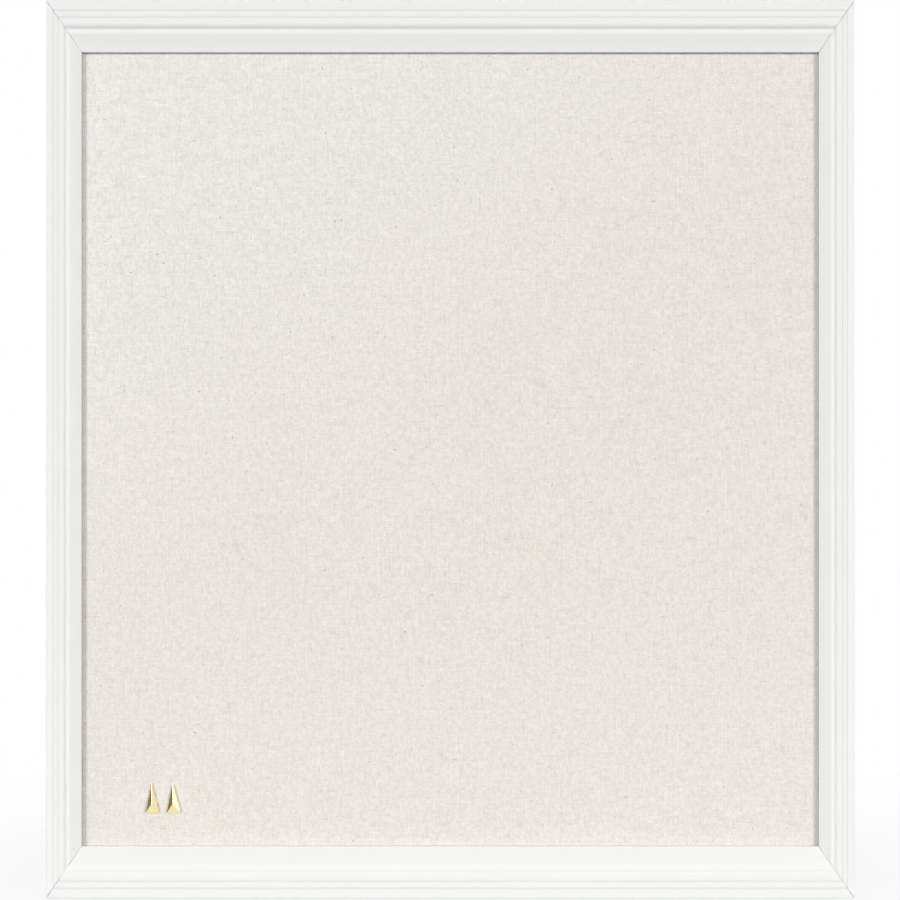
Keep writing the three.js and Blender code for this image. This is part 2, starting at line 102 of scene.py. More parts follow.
# How much painted shade darkens the paint on the lips, in the grooves and at the sight edge, and where
PAINTED_SHADE_LIPS = {"rail": 0.02, "stile": 0.085}
PAINTED_SHADE_GROOVES = {"rail": 0.14, "stile": 0.035}
PAINTED_SHADE_SIGHTS = {"rail": 0.0, "stile": 0.4}
PAINTED_SHADE_LIP_SHARES = (0.64, 0.72)
PAINTED_SHADE_SIGHT_SHARE = 0.999

# Panel: linen, softboard and hardboard
PANEL_CLEARANCE = 0.8 * MM
LINEN_BACK = 6.1 * MM
LINEN_FRONT = 15.9 * MM
LINEN_THICKNESS = 0.6 * MM
LINEN_MARGIN = 32 * MM
LINEN_ROUND = 1.3 * MM
BACKING_BACK = 2.8 * MM
BACKING_THICKNESS = 2.2 * MM
MARGIN_CORNER = 2 * MM  # round corner of the margin's edge
SEAT_GAP = 0.3 * MM

# Fasteners and hangers
POINT_BACK = 2 * MM
POINT_LENGTH = 14 * MM
POINT_DRIVEN = 7 * MM
POINT_WIDTH = 6 * MM
POINT_TIP = 2.5 * MM
POINT_THICKNESS = 0.5 * MM
STAPLE_BACK = 5.3 * MM
STAPLE_CROWN = 10 * MM
STAPLE_LEG = 6 * MM
STAPLE_WIRE = 0.5 * MM
STAPLE_INSET = 16 * MM
FASTENERS_ON_SIDE = 3
FASTENER_END_MARGIN = 70 * MM
V_NAIL_LEG = 4.5 * MM
V_NAIL_THICKNESS = 0.5 * MM
V_NAIL_HEIGHT = 10 * MM
V_NAIL_INSET = 0.2 * MM
V_NAIL_SEAT_GAP = 0.08 * MM
V_NAIL_SEAT_DEPTH = 10.1 * MM
OUTER_V_NAIL = 11 * MM
INNER_V_NAIL = 19.5 * MM
RING_WIRE = 1.8 * MM
RING_HALF_WIDTH = 5.6 * MM
RING_REACH = 9.5 * MM
RING_CORNER = 1.5 * MM
RING_SEAM = 0.3 * MM
RING_AXIS = (-2.95 * MM, -8.6 * MM)
BUMPER_DIAMETER = 10 * MM
BUMPER_HEIGHT = 5 * MM
BUMPER_INSET = 42 * MM
BUMPER_EDGE = 0.3 * MM
BUMPER_ROUND = 1.5 * MM

# Push pins
PIN_FROM_LEFT = 59.4 * MM
PIN_FROM_BOTTOM = 53.1 * MM
PIN_SPACING = 12 * MM
PIN_LEANS = {"left": 2, "right": 2.3}
PIN_EDGE = 1 * MM
FACET_RISES = {"left": 1.0, "right": 0.86}
NEEDLE_DIAMETER = 1.1 * MM
NEEDLE_LENGTH = 8 * MM
NEEDLE_TIP = 2.5 * MM
NEEDLE_SOCKET = 1.4 * MM
NEEDLE_TAPER_SHARES = ((1, 1), (0.72, 0.5), (0.3, 0.14), (0, 0))  # of its radius and of its tip's length
PIN_HOLE_DIAMETER = 1.4 * MM
PIN_HOLE_REACH = 3 * MM

# How far the sharp edges of the pieces are taken off
EDGES = {
    "point": 0.06 * MM, "staple": 0.05 * MM, "v_nail": 0.05 * MM, "strap": 0.14 * MM,
    "screw": 0.07 * MM, "stud": 0.05 * MM, "hardboard": 0.35 * MM, "softboard": 0.3 * MM,
}

# Angles in degrees up to which faces are shaded smooth, and past which edges are taken off
SMOOTH = 32
SMOOTH_MOULDING = 24
SMOOTH_STUD = 6
SHARP = 35
SHARP_STUD = 20

# Sides of round pieces, and straight pieces in their curves
ROUND_SIDES = 20
BUMPER_SIDES = 40
BUMPER_STEPS = 8
CORNER_STEPS = 6
RING_CORNER_STEPS = 8
RING_END_STEPS = 28

# The frame's back in front of the wall, and its middle below the hooks
WALL_GAP = 5.3 * MM
MIDDLE = -134 * MM
OVERRUN = 1 * MM  # how far a cut runs past what it cuts
MERGE_DISTANCE = 0.002 * MM

# Floor, light and camera
FLOOR_GAP = 0.5 * MM
FLOOR_REACH = 1.4
LEVEL_OF_AMBIENT = 0.045
LAMPS = (  # name, azimuth, elevation, spread in degrees, strength
    ("left_box", -38, 11, 20, 0.805),
    ("far_left_box", -47, 11, 20, 0.88),
    ("right_box", 38, 11, 20, 0.805),
    ("far_right_box", 47, 11, 20, 0.87),
    ("top_box", 0, 54, 44, 0.29),
    ("back_left_box", -140, 16, 30, 1.3),
    ("back_right_box", 140, 16, 30, 1.3),
)
CAMERA_DISTANCE = 1.25  # in front of the moulding's outline
OUTLINE_DEPTH = -25.5 * MM
CAMERA_SHIFT = (-0.14 * MM, -0.42 * MM)
VIEW_WIDTH = 0.50958
SENSOR_WIDTH = 36

# Sizes that follow from these
CREST = LIP_FRONT + CREST_RISE
STILE_RABBET = RAIL_RABBET * STILE_FACE / RAIL_FACE
RAIL_BACK = RAIL_FACE - RAIL_RABBET
STILE_BACK = STILE_FACE - STILE_RABBET
PANEL_WIDTH = BOARD_WIDTH - 2 * (STILE_BACK + PANEL_CLEARANCE)
PANEL_HEIGHT = BOARD_HEIGHT - 2 * (RAIL_BACK + PANEL_CLEARANCE)
TO_BODY = Matrix.Translation((0, -WALL_GAP, MIDDLE))


class Flow:
    """One socket of a node tree, used in sums as a number is."""

    def __init__(self, net, socket):
        self.net = net
        self.socket = socket

    def sum(self, operation, *values):
        return self.net.make("ShaderNodeMath", {"operation": operation}, dict(enumerate(values)))

    def __add__(self, other):
        return self.sum("ADD", self, other)

    __radd__ = __add__

    def __sub__(self, other):
        return self.sum("SUBTRACT", self, other)

    def __rsub__(self, other):
        return self.sum("SUBTRACT", other, self)

    def __mul__(self, other):
        return self.sum("MULTIPLY", self, other)

    __rmul__ = __mul__

    def __truediv__(self, other):
        return self.sum("DIVIDE", self, other)

    def __lt__(self, other):
        return self.sum("LESS_THAN", self, other)

    def __gt__(self, other):
        return self.sum("GREATER_THAN", self, other)

    def __mod__(self, other):
        return self.sum("FLOORED_MODULO", self, other)

    def floor(self):
        return self.sum("FLOOR", self)


class Net:
    """A node tree that is built one node at a time."""

    def __init__(self, tree):
        self.tree = tree

    def make(self, kind, settings=None, values=None, output=0):
        """A node of that kind, with its settings and the values or links of its sockets."""
        node = self.tree.nodes.new(kind)
        for name, setting in (settings or {}).items():
            setattr(node, name, setting)
        for name, value in (values or {}).items():
            self.feed(node.inputs[name], value)
        return Flow(self, node.outputs[output]) if node.outputs else None

    def feed(self, socket, value):
        if isinstance(value, Flow):
            self.tree.links.new(value.socket, socket)
        elif socket.type == "RGBA" and len(value) == 3:
            socket.default_value = (*value, 1)
        else:
            socket.default_value = value

    def split(self, vector):
        first = self.make("ShaderNodeSeparateXYZ", None, {"Vector": vector})
        return [Flow(self, socket) for socket in first.socket.node.outputs]

    def join(self, x=0.0, y=0.0, z=0.0):
        return self.make("ShaderNodeCombineXYZ", None, {"X": x, "Y": y, "Z": z})

    def noise(self, place, size, detail=2.0, roughness=0.5):
        """Cloudy noise from 0 to 1, whose patches are about size metres wide."""
        values = {"Vector": place, "Scale": 1 / size, "Detail": detail, "Roughness": roughness}
        return self.make("ShaderNodeTexNoise", None, values)

    def ramp(self, value, low, high, start=0.0, end=1.0):
        """Rises smoothly from start to end while value goes from low to high."""
        values = {"Value": value, "From Min": low, "From Max": high, "To Min": start, "To Max": end}
        return self.make("ShaderNodeMapRange", {"interpolation_type": "SMOOTHSTEP"}, values)

    def tint(self, factor, first, second, blend="MIX"):
        settings = {"data_type": "RGBA", "blend_type": blend}
        return self.make("ShaderNodeMix", settings, {0: factor, 6: first, 7: second}, output=2)

    def shade(self, colour, level):
        """The colour, made darker or lighter by a number that varies."""
        return self.tint(1.0, colour, self.join(level, level, level), "MULTIPLY")


class Finish(Net):
    """A material that reads the piece's own coordinates."""

    def __init__(self, name):
        self.material = bpy.data.materials.new(name)
        self.material.use_nodes = True
        super().__init__(self.material.node_tree)
        self.tree.nodes.clear()

    def object_place(self):
        return self.make("ShaderNodeTexCoord", None, None, output="Object")

    def stretched(self, place, x=1.0, y=1.0, z=1.0):
        return self.make("ShaderNodeVectorMath", {"operation": "MULTIPLY"}, {0: place, 1: (x, y, z)})

    def surface(self, colour, roughness, height, relief, **fixed):
        """Joins colour, roughness and height to the shader. Relief is a full height's rise, in metres."""
        normal = self.make("ShaderNodeBump", None, {"Height": height, "Distance": relief})
        values = {"Base Color": colour, "Roughness": roughness, "Normal": normal}
        values.update({name.replace("_", " "): value for name, value in fixed.items()})
        shader = self.make("ShaderNodeBsdfPrincipled", None, values)
        self.make("ShaderNodeOutputMaterial", None, {"Surface": shader})
        return self.material


def white_paint():
    """Satin white lacquer: fine orange peel, faint pulls along the moulding, painted shade on lips, grooves
    and sight edge.
    """
    net = Finish("satin_white_paint")
    grain = net.make("ShaderNodeAttribute", {"attribute_name": "grain"}, None, output="Vector")
    dull = net.make("ShaderNodeAttribute", {"attribute_name": "dull"}, None, output="Fac")
    peel = net.noise(grain, 1.6 * MM, 2)
    pulls = net.noise(net.stretched(grain, 0.04, 1, 1), 1.3 * MM, 3)
    clouds = net.noise(grain, 45 * MM, 3)
    fine = net.noise(grain, 0.5 * MM, 1)
    # Painted shade: the stored attribute darkens the paint on the lips, in the grooves and on the wall under
    # the sight edge
    level = 0.99 + 0.012 * clouds + 0.008 * pulls + 0.006 * fine - dull * (0.7 + 0.6 * clouds)
    colour = net.shade((0.915, 0.917, 0.907), level)
    roughness = 0.4 + 0.1 * clouds + 0.06 * peel
    height = 0.6 * peel + 0.4 * pulls
    return net.surface(colour, roughness, height, 0.02 * MM, IOR=1.48)


def bare_pine():
    """Planed pine where no paint reaches: growth rings cut lengthways, fine fibres and saw marks."""
    net = Finish("bare_pine")
    grain = net.make("ShaderNodeAttribute", {"attribute_name": "grain"}, None, output="Vector")
    wander = net.noise(net.stretched(grain, 0.06, 1, 1), 14 * MM, 2)
    rings = net.noise(net.stretched(grain, 0.012, 1, 1), 2.2 * MM, 3)
    fibres = net.noise(net.stretched(grain, 0.03, 1, 1), 0.35 * MM, 3, 0.6)
    late_wood = net.ramp(rings + 0.35 * wander, 0.56, 0.74)
    pale = net.tint(wander, (0.62, 0.44, 0.25), (0.7, 0.52, 0.32))
    colour = net.tint(late_wood * 0.7, pale, (0.38, 0.22, 0.1))
    colour = net.shade(colour, 0.84 + 0.3 * fibres)
    roughness = 0.68 + 0.16 * fibres
    height = 0.7 * fibres + 0.3 * late_wood
    return net.surface(colour, roughness, height, 0.06 * MM)


def linen():
    """Natural linen in plain weave: fine threads that wander, each of its own tone, with slubs and flecks."""
    net = Finish("stretched_linen")
    warm_thread, cool_thread = (0.855, 0.8, 0.75), (0.843, 0.804, 0.766)
    rosy_thread, painted_light_thread = (0.861, 0.783, 0.754), (0.9, 0.884, 0.838)
    slub_brown, husk_brown = (0.5, 0.43, 0.34), (0.46, 0.36, 0.25)
    place = net.object_place()
    x, _, z = net.split(place)
    flat = net.join(x, 0.0, z)

    # Swaying threads: which one a place is on, and how far across it
    pitch = 1.25 * MM
    sway_x = net.noise(net.stretched(flat, 1, 1, 0.15), 5 * MM, 1) - 0.5
    sway_z = net.noise(net.stretched(flat, 0.15, 1, 1), 5 * MM, 1) - 0.5
    u = x / pitch + 1.3 * sway_x
    v = z / pitch + 1.3 * sway_z
    warp = u.floor()
    weft = v.floor()
    across_warp = 2 * (u - warp) - 1
    across_weft = 2 * (v - weft) - 1
    warp_round = 1 - across_warp * across_warp
    weft_round = 1 - across_weft * across_weft

    # Plain weave: each thread goes over and under in turn
    warp_under = (warp + weft) % 2
    warp_top = warp_round * (0.6 + 0.4 * weft_round)
    weft_top = weft_round * (0.6 + 0.4 * warp_round)
    height = warp_top * (1 - warp_under) + weft_top * warp_under

    # Tones of the crossings, along the threads and over the cloth
    places = {"Vector": net.join(warp, 0.0, weft)}
    crossing = net.make("ShaderNodeTexWhiteNoise", {"noise_dimensions": "3D"}, places)
    warp_tone = net.noise(net.join(warp * 0.83, 0.0, z / (13 * MM)), 1, 2)
    weft_tone = net.noise(net.join(x / (9 * MM), 4.7, weft * 0.83), 1, 2)
    warp_weave = net.noise(net.join(u * 1.7, 9.1, z / (4.5 * MM)), 1, 1)
    weft_weave = net.noise(net.join(x / (3.2 * MM), 6.3, v * 1.7), 1, 1)
    streaks = net.ramp(warp_tone, 0.4, 0.26) + net.ramp(weft_tone, 0.38, 0.26)
    thread = 0.12 * (warp_tone - 0.5) + 0.07 * (weft_tone - 0.5) + 0.09 * (crossing - 0.5)
    thread = thread + 0.17 * (warp_weave - 0.5) + 0.13 * (weft_weave - 0.5)
    warm = net.noise(flat, 7 * MM, 1)
    rosy = net.noise(net.join(x, 0.05, z), 9 * MM, 1)
    broad = net.noise(flat, 90 * MM, 2)

    # Colour, with painted light: paler towards the upper left and the lower edge
    colour = net.tint(net.ramp(warm, 0.2, 0.8), warm_thread, cool_thread)
    colour = net.tint(net.ramp(rosy, 0.3, 0.7, 0.08, 0.4), colour, rosy_thread)
    # Painted light: the paler thread colour is mixed in towards the upper left and the lower edge
    painted_light = net.ramp(0.6 * x - 0.8 * z, -0.14, 0.12, 1.0, 0.0) + net.ramp(z, -0.2, -0.34, 0.0, 0.2)
    colour = net.tint(painted_light * 0.7, colour, painted_light_thread)
    # Painted shade in the weave: the colour is lighter on the thread crowns and darker where the threads dip
    colour = net.shade(colour, 0.93 + 0.1 * height + thread - 0.03 * streaks + 0.03 * broad)

    # Slubs in single threads, flecks of husk and loose fibres
    tall = net.noise(net.join(warp * 0.77, 2.3, z / (2 * MM)), 1, 1)
    wide = net.noise(net.join(x / (2 * MM), 7.9, weft * 0.77), 1, 1)
    slub = net.ramp(tall, 0.76, 0.86) + net.ramp(wide, 0.76, 0.86)
    colour = net.tint(slub * 0.45, colour, slub_brown)
    flecks = net.ramp(net.noise(net.stretched(flat, 0.5, 1, 1), 1.5 * MM, 0), 0.815, 0.86)
    flecks = flecks + net.ramp(net.noise(net.stretched(flat, 1, 1, 0.5), 1.5 * MM, 0), 0.82, 0.865)
    colour = net.tint(flecks * 0.6, colour, husk_brown)
    fuzz = net.noise(flat, 0.4 * MM, 2)
    relief = height + 0.5 * slub + 0.25 * fuzz
    roughness = 0.86 + 0.1 * fuzz
    return net.surface(colour, roughness, relief, 0.08 * MM, Sheen_Weight=0.12, Sheen_Roughness=0.5)


def softboard():
    """Pressed wood fibre, soft and pale brown."""
    net = Finish("softboard")
    place = net.object_place()
    fibres = net.noise(net.stretched(place, 1, 3, 0.5), 0.9 * MM, 4, 0.65)
    clumps = net.noise(place, 5 * MM, 3)
    colour = net.tint(fibres, (0.34, 0.23, 0.13), (0.6, 0.46, 0.3))
    colour = net.shade(colour, 0.85 + 0.3 * clumps)
    return net.surface(colour, 0.85 + 0.1 * clumps, fibres, 0.25 * MM)


def hardboard():
    """Pressed hardboard: dark brown, fine mixed fibres, a few pale splinters and a waxy bloom."""
    net = Finish("hardboard")
    place = net.object_place()
    fibres = net.noise(net.stretched(place, 0.45, 1, 1), 0.8 * MM, 4, 0.65)
    cross = net.noise(net.stretched(place, 1, 1, 0.4), 1.1 * MM, 3, 0.6)
    clouds = net.noise(place, 38 * MM, 4)
    splinters = net.ramp(net.noise(net.stretched(place, 0.16, 1, 1), 0.6 * MM, 1), 0.7, 0.82)
    mixed = net.ramp(0.5 * fibres + 0.5 * cross, 0.36, 0.64)
    colour = net.tint(mixed, (0.13, 0.07, 0.036), (0.3, 0.176, 0.095))
    colour = net.shade(colour, 0.78 + 0.44 * clouds)
    colour = net.tint(splinters * 0.4, colour, (0.44, 0.3, 0.18))
    scuffs = net.ramp(net.noise(net.stretched(place, 0.03, 1, 0.6), 2.5 * MM, 3), 0.62, 0.75)
    roughness = 0.42 + 0.2 * fibres + 0.14 * clouds + 0.12 * scuffs
    height = 0.6 * fibres + 0.4 * cross
    return net.surface(colour, roughness, height, 0.05 * MM)


def zinc_steel():
    """Zinc-plated steel: cloudy crystals, fine rolling lines and dulled patches."""
    net = Finish("zinc_plated_steel")
    place = net.object_place()
    clouds = net.noise(place, 2.2 * MM, 3)
    lines = net.noise(net.stretched(place, 1, 1, 0.05), 0.16 * MM, 2)
    spots = net.ramp(net.noise(place, 0.8 * MM, 3), 0.6, 0.72)
    colour = net.tint(net.ramp(clouds, 0.35, 0.65), (0.42, 0.43, 0.44), (0.6, 0.6, 0.59))
    colour = net.tint(spots * 0.4, colour, (0.3, 0.29, 0.27))
    roughness = 0.28 + 0.16 * clouds + 0.12 * spots + 0.06 * lines
    return net.surface(colour, roughness, 0.5 * lines + 0.5 * clouds, 0.008 * MM, Metallic=1.0)


def pin_gold():
    """Polished gold plate on the pins: slight ripples and hairlines from polishing."""
    net = Finish("polished_gold")
    place = net.object_place()
    ripples = net.noise(place, 2.4 * MM, 2)
    hairlines = net.noise(net.stretched(place, 1, 1, 0.06), 0.12 * MM, 2)
    colour = net.tint(ripples, (0.89, 0.76, 0.38), (0.95, 0.83, 0.47))
    roughness = 0.05 + 0.07 * ripples + 0.05 * hairlines
    return net.surface(colour, roughness, 0.7 * ripples + 0.3 * hairlines, 0.005 * MM, Metallic=1.0)


def black_rubber():
    """Moulded black rubber, matt, with dust in its pores."""
    net = Finish("black_rubber")
    place = net.object_place()
    pores = net.noise(place, 0.35 * MM, 3, 0.6)
    dust = net.ramp(net.noise(place, 2.5 * MM, 4, 0.6), 0.5, 0.75)
    colour = net.tint(dust * 0.5, (0.022, 0.022, 0.023), (0.075, 0.072, 0.068))
    return net.surface(colour, 0.62 + 0.16 * pores + 0.12 * dust, pores, 0.04 * MM)


paint = white_paint()
pine = bare_pine()
linen_cloth = linen()
softboard_fibre = softboard()
hardboard_brown = hardboard()
steel = zinc_steel()
gold = pin_gold()
rubber = black_rubber()


def settle(mesh, place=None, smooth_to=SMOOTH):
    """Puts a finished mesh in its place, turns its faces outwards and smooths it up to that angle."""
    if place is not None:
        mesh.transform(place)
    work = bmesh.new()
    work.from_mesh(mesh)
    bmesh.ops.recalc_face_normals(work, faces=work.faces)
    work.to_mesh(mesh)
    work.free()
    mesh.shade_smooth()
    mesh.set_sharp_from_angle(angle=math.radians(smooth_to))
    mesh.update()
    return mesh


def thing(name, mesh, *materials):
    """An object at the origin that shows the mesh."""
    if materials:
        mesh.materials.clear()
        for material in materials:
            mesh.materials.append(material)
    mesh.name = name
    made = bpy.data.objects.new(name, mesh)
    bpy.context.scene.collection.objects.link(made)
    return made


def applied(made):
    """The object's mesh with its modifiers worked in. The object itself is removed."""
    bpy.context.view_layer.update()
    graph = bpy.context.evaluated_depsgraph_get()
    mesh = bpy.data.meshes.new_from_object(
        made.evaluated_get(graph), preserve_all_data_layers=True, depsgraph=graph
    )
    bpy.data.objects.remove(made)
    return mesh


def mount(made, body, slot, *replaced):
    """Gives the piece its body and hides the CAD pieces that it stands for. The slot is not used."""
    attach(made, body)
    if replaced:
        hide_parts(*replaced)
    return made


class Shaper(Net):
    """A geometry tree with named inputs, which is worked into a plain mesh."""

    SOCKETS = {
        "size": "NodeSocketFloat",
        "count": "NodeSocketInt",
        "object": "NodeSocketObject",
        "material": "NodeSocketMaterial",
    }

    def __init__(self, name, **inputs):
        super().__init__(bpy.data.node_groups.new(name, "GeometryNodeTree"))
        face = self.tree.interface
        face.new_socket("Geometry", in_out="INPUT", socket_type="NodeSocketGeometry")
        face.new_socket("Geometry", in_out="OUTPUT", socket_type="NodeSocketGeometry")
        self.keys = {}
        for label, kind in inputs.items():
            socket = face.new_socket(label, in_out="INPUT", socket_type=self.SOCKETS[kind])
            self.keys[label] = socket.identifier
        entry = self.tree.nodes.new("NodeGroupInput")
        self.given = {socket.name: Flow(self, socket) for socket in entry.outputs if socket.name}

    def close(self, geometry, material):
        """Ends the tree in Realize Instances and Set Material."""
        real = self.make("GeometryNodeRealizeInstances", None, {"Geometry": geometry})
        done = self.make("GeometryNodeSetMaterial", None, {"Geometry": real, "Material": material})
        self.make("NodeGroupOutput", None, {"Geometry": done})

    def shape(self, base, **values):
        """The plain mesh that the tree makes of the base."""
        made = thing(base.name, base)
        modifier = made.modifiers.new(self.tree.name, "NODES")
        modifier.node_group = self.tree
        for label, value in values.items():
            modifier[self.keys[label]] = value
        return applied(made)


def moulding_shaper():
    """Sweeps a section along X and mitres both ends. The joint opens unevenly, as a real mitre does."""
    # The painted shade inputs say how much the paint is darkened on the lip, in the grooves and at the sight
    # edge
    net = Shaper(
        "mitred_moulding", length="size", face="size", neighbour_face="size", rabbet="size",
        rabbet_depth="size", open_joint="size", seed="size", dull_lip="size",
        dull_groove="size", dull_sight="size", paint="material", bare_wood="material",
    )
    given = net.given

    # The section, swept along a line from -1 to 1
    position = net.make("GeometryNodeInputPosition")
    outline = net.make("GeometryNodeMeshToCurve", None, {"Mesh": given["Geometry"]})
    kept = net.make(
        "GeometryNodeStoreNamedAttribute", {"data_type": "FLOAT_VECTOR", "domain": "POINT"},
        {"Geometry": outline, "Name": "section", "Value": position},
    )
    line = net.make("GeometryNodeCurvePrimitiveLine", None, {"Start": (-1, 0, 0), "End": (1, 0, 0)})
    values = {"Curve": line, "Profile Curve": kept, "Fill Caps": True}
    swept = net.make("GeometryNodeCurveToMesh", None, values)

    # Mitred ends, and the place before the mitre as the paint's and the wood's grain
    vector = {"data_type": "FLOAT_VECTOR"}
    section = net.make("GeometryNodeInputNamedAttribute", vector, {"Name": "section"})
    across, depth, _ = net.split(section)
    share = across / given["face"]
    end = net.split(position)[0]
    place = net.join(share * JOINT_LUMPS, end * 3, given["seed"])
    uneven = net.make("ShaderNodeTexNoise", None, {"Vector": place, "Scale": 1, "Detail": 1})
    opens_from, open_at = (height * CREST for height in OPEN_JOINT_SHARES)
    open_front = net.ramp(depth, opens_from, open_at, 0.1, 1.0)
    corner = net.ramp(share, *WORN_CORNER_SHARES, 0.0, WORN_CORNER_OPENING)
    gap = given["open_joint"] * (net.ramp(uneven, 0.35, 0.65) + 0.45 + corner) * open_front
    half = given["length"] / 2 - across * given["neighbour_face"] / given["face"] - gap
    place = net.join(end * half, 0 - depth, 0 - across)
    mitred = net.make("GeometryNodeSetPosition", None, {"Geometry": swept, "Position": place})
    kept = net.make(
        "GeometryNodeStoreNamedAttribute", {"data_type": "FLOAT_VECTOR", "domain": "POINT"},
        {"Geometry": mitred, "Name": "grain", "Value": position},
    )

    # Painted shade on the lip, at the sight edge and in the grooves: the paint is made darker there
    dull = given["dull_lip"] * net.ramp(share, *PAINTED_SHADE_LIP_SHARES)
    dull = dull + given["dull_sight"] * (share > PAINTED_SHADE_SIGHT_SHARE)
    for groove_end in GROOVE_END_SHARES:
        groove_start = groove_end - GROOVE_SHARE
        sinks = net.ramp(share, groove_start - LEAD_SHARE, groove_start)
        ends = net.ramp(share, groove_end + WALL_SHARE, groove_end)
        dull = dull + given["dull_groove"] * (sinks * ends)
    kept = net.make(
        "GeometryNodeStoreNamedAttribute", {"data_type": "FLOAT", "domain": "POINT"},
        {"Geometry": kept, "Name": "dull", "Value": dull},
    )

    # Paint all over, then bare wood at the back and in the rabbet
    real = net.make("GeometryNodeRealizeInstances", None, {"Geometry": kept})
    values = {"Geometry": real, "Material": given["paint"]}
    painted = net.make("GeometryNodeSetMaterial", None, values)
    hair = 0.01 * MM  # slack in comparing places
    back = depth < hair
    in_rabbet = (across > given["face"] - given["rabbet"] - hair) * (depth < given["rabbet_depth"] + hair)
    bare = net.make(
        "GeometryNodeSetMaterial", None,
        {"Geometry": painted, "Selection": back + in_rabbet, "Material": given["bare_wood"]},
    )
    net.make("NodeGroupOutput", None, {"Geometry": bare})
    return net


def repeat_shaper():
    """Puts a shape at each point of the base, turned about Y by the point's own angle."""
    net = Shaper("repeated_fastener", shape="object", material="material")
    turn = net.make("GeometryNodeInputNamedAttribute", {"data_type": "FLOAT"}, {"Name": "turn"})
    rotation = net.make("FunctionNodeEulerToRotation", None, {"Euler": net.join(0.0, turn, 0.0)})
    shape = net.make("GeometryNodeObjectInfo", None, {"Object": net.given["shape"]}, output="Geometry")
    values = {"Points": net.given["Geometry"], "Instance": shape, "Rotation": rotation}
    placed = net.make("GeometryNodeInstanceOnPoints", None, values)
    net.close(placed, net.given["material"])
    return net


def wire_shaper():
    """Draws round wire along the base's line."""
    net = Shaper("bent_wire", radius="size", sides="count", material="material")
    line = net.make("GeometryNodeMeshToCurve", None, {"Mesh": net.given["Geometry"]})
    values = {"Radius": net.given["radius"], "Resolution": net.given["sides"]}
    round_section = net.make("GeometryNodeCurvePrimitiveCircle", None, values)
    values = {"Curve": line, "Profile Curve": round_section, "Fill Caps": True}
    net.close(net.make("GeometryNodeCurveToMesh", None, values), net.given["material"])
    return net


def curve_points(start, control, end, steps):
    """Points of a quadratic curve after its start, as (x, y)."""
    for i in range(1, steps + 1):
        t = i / steps
        yield tuple(
            (1 - t) ** 2 * a + 2 * t * (1 - t) * b + t * t * c for a, b, c in zip(start, control, end)
        )


def moulding_section(face, rabbet):
    """The outline across a moulding: (distance from the outer edge, distance from the back)."""
    first_tread = CREST - STEP_RISE
    fillet = first_tread - STEP_RISE
    foot = LIP_FRONT + FOOT_RISE
    bead = foot + BEAD_RISE
    points = [(0, 0), (0, fillet - OUTER_ROUND)]

    def line(share, depth):
        points.append((face * share, depth))

    def bend(share, depth, end_share, end_depth, steps):
        control, end = (face * share, depth), (face * end_share, end_depth)
        points.extend(curve_points(points[-1], control, end, steps))

    def groove(end, before, after):
        """A tread, then a groove that sinks up to end, with an upright wall there and a rounded edge."""
        start = end - GROOVE_SHARE
        line(start - LEAD_SHARE, before)
        line(start, before)
        line(end, before - QUIRK_DEPTH)
        line(end + WALL_SHARE, after - EDGE_ROUND)
        bend(end + WALL_SHARE, after, end + EDGE_SHARE, after, EDGE_STEPS)

    crown = CREST - TREAD_FALL / 2
    sight = LIP_FRONT - LIP_FALL
    roll_foot = CREST - ROLL_DROP
    bend(0, fillet, OUTER_ROUND_SHARE, fillet, ROUND_STEPS)
    for end, low, high in zip(GROOVE_END_SHARES, (fillet, first_tread), (first_tread, CREST)):
        groove(end, low - TREAD_FALL, high)
    line(ROLL_START_SHARE, crown)
    bend(ROLL_BEND_SHARE, crown, ROLL_MIDDLE_SHARE, CREST - ROLL_DROP / 2, CURVE_STEPS)
    bend(ROLL_HOLLOW_SHARE, roll_foot, ROLL_FOOT_SHARE, roll_foot, FOOT_STEPS)
    line(BEAD_QUIRK_SHARE, roll_foot - QUIRK_DEPTH)
    line(BEAD_START_SHARE, bead - EDGE_ROUND)
    bend(BEAD_START_SHARE, bead, BEAD_TOP_SHARE, bead, EDGE_STEPS)
    line(BEAD_END_SHARE, bead - BEAD_FALL)
    bend(BEAD_BEND_SHARE, bead - BEAD_FALL, COVE_START_SHARE, foot, BEAD_STEPS)
    bend(COVE_BEND_SHARE, LIP_FRONT + COVE_RISE, COVE_END_SHARE, sight, CURVE_STEPS)
    bend(1, sight, 1, sight - SIGHT_ROUND, ROUND_STEPS)
    points.extend([(face, LIP_BACK), (face - rabbet, LIP_BACK), (face - rabbet, 0)])
    return points


def line_mesh(name, points, closed):
    """A line of edges through the points."""
    mesh = bpy.data.meshes.new(name)
    edges = [(i, i + 1) for i in range(len(points) - 1)]
    if closed:
        edges.append((len(points) - 1, 0))
    mesh.from_pydata(points, edges, [])
    return mesh


def prism(name, outline, low, high, bevel):
    """A flat piece in X and Z, from y = low to y = high, with its edges taken off."""
    work = bmesh.new()
    corners = [work.verts.new((x, low, z)) for x, z in outline]
    face = work.faces.new(corners)
    grown = bmesh.ops.extrude_face_region(work, geom=[face])["geom"]
    moved = [v for v in grown if isinstance(v, bmesh.types.BMVert)]
    bmesh.ops.translate(work, vec=(0, high - low, 0), verts=moved)
    if bevel:
        bmesh.ops.bevel(
            work, geom=work.edges[:], offset=bevel, segments=2, profile=0.5, affect="EDGES",
            clamp_overlap=True,
        )
    mesh = bpy.data.meshes.new(name)
    work.to_mesh(mesh)
    work.free()
    return mesh


